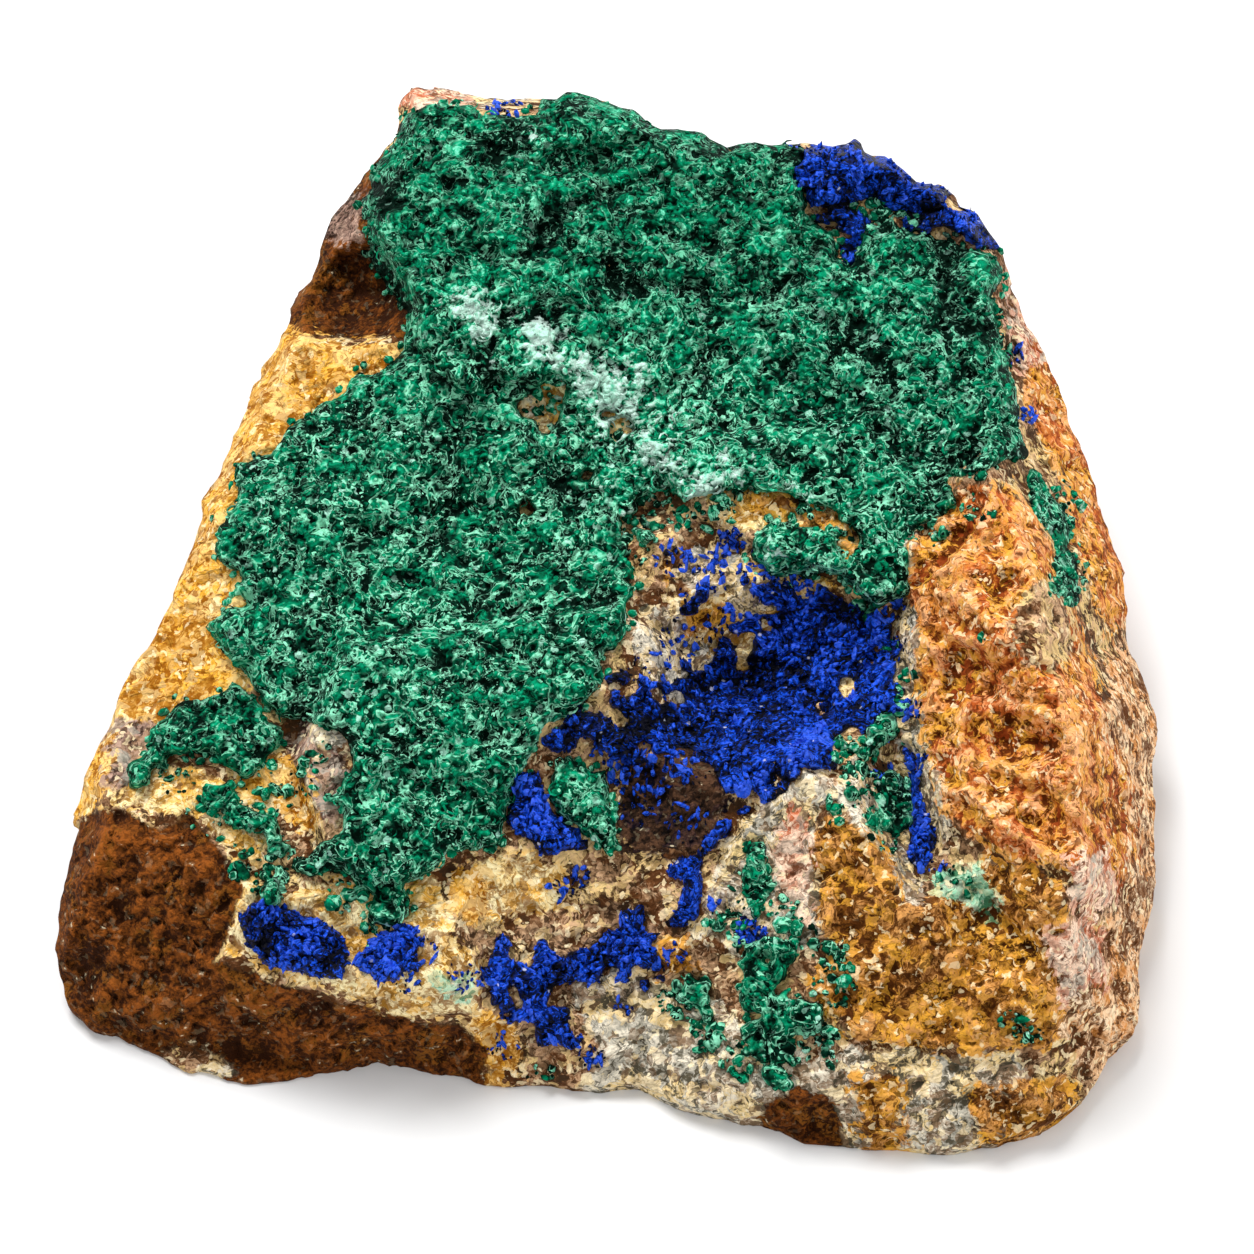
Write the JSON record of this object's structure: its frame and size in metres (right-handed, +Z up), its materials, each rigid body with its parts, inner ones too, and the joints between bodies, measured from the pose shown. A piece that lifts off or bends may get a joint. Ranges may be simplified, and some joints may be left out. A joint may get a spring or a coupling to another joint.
{
  "type": "azurite and malachite specimen",
  "caption": "Cabinet mineral specimen: deep blue azurite and a mossy green malachite crust on a wedge of brown and ochre limonite rock, resting on a flat base.",
  "frame": {"origin": "the middle of the specimen's box, on the flat base it rests on", "axes": "+Z up from the base; the display face slopes down towards -Y, its front; +X is to the right as the display face is looked at from the front"},
  "size_m": [0.0988, 0.099, 0.0385],
  "materials": {
    "limonite_rock": "rough broken limonite and ochre: chocolate brown, yellow, rust and grey-white areas, with fine glints",
    "malachite": "crinkled velvety crust, emerald green with pale mint crests and dark pits",
    "azurite": "granular crystals, deep ultramarine with bright facets",
    "powder_azurite": "fine-grained powdery azurite, bright blue"
  },
  "bodies": {
    "root": {"matrix_rock": "limonite_rock", "malachite_main_crust": "malachite", "malachite_left_patch": "malachite", "malachite_rim_sprig": "malachite", "malachite_tongue": "malachite", "malachite_streak": "malachite", "malachite_front_patch": "malachite", "malachite_valley_strip": "malachite", "malachite_crag_strip": "malachite", "azurite_hollow_crust": "azurite", "azurite_back_cluster": "azurite", "azurite_rim_pad": "azurite", "azurite_rim_cluster": "azurite", "azurite_plateau_patch": "azurite", "azurite_valley_tip": "azurite", "azurite_front_spray": "powder_azurite", "azurite_vein": "powder_azurite"}
  },
  "joints": []
}
